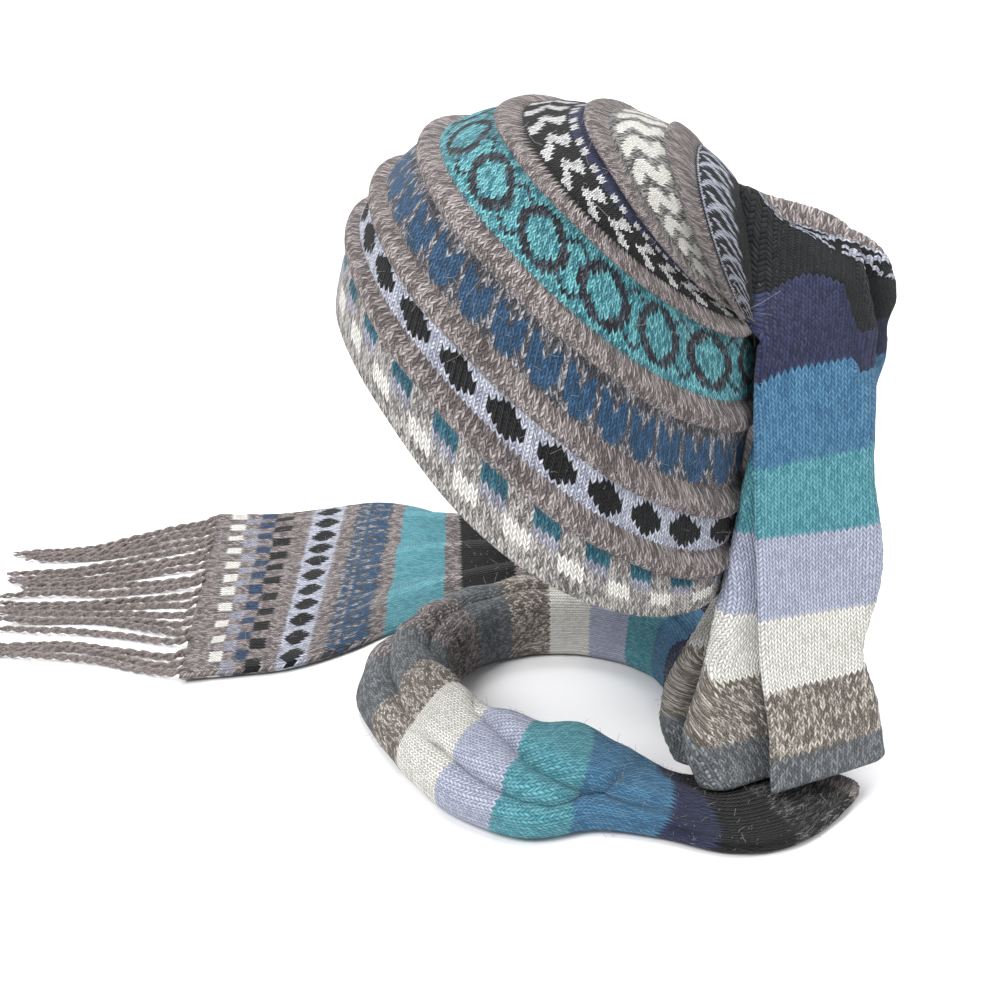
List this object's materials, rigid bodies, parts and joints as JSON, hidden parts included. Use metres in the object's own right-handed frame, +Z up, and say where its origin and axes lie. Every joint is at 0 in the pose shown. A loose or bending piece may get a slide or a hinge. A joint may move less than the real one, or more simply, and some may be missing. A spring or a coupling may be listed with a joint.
{
  "type": "scarf hat",
  "caption": "Slouchy knitted hat with raised rings whose crown runs on as a long striped scarf, pleated, wrapped once round the neck and fringed at its end.",
  "frame": {"origin": "inside top of the crown, where the hat sits on a head", "axes": "+Z up, +X from the fringed end towards the hanging tail, +Y away from the side that the picture shows; the wearer looks towards -X and a little towards +Y"},
  "size_m": [0.4869, 0.4376, 0.2979],
  "materials": {
    "hat_knit": "patterned wool and alpaca knit with a soft halo",
    "tail_knit": "plain knit in wide colour stripes",
    "wrap_knit": "plain knit in wide colour stripes",
    "end_knit": "patterned wool and alpaca knit with a soft halo",
    "fringe_yarn": "plied taupe yarn cords"
  },
  "bodies": {
    "root": {"hat_body": "hat_knit", "tail_drop": "tail_knit", "front_wrap": "wrap_knit", "rear_wrap": "wrap_knit", "scarf_end": "end_knit", "fringe_bunch_1": "fringe_yarn", "fringe_bunch_2": "fringe_yarn", "fringe_bunch_3": "fringe_yarn", "fringe_bunch_4": "fringe_yarn"}
  },
  "joints": []
}
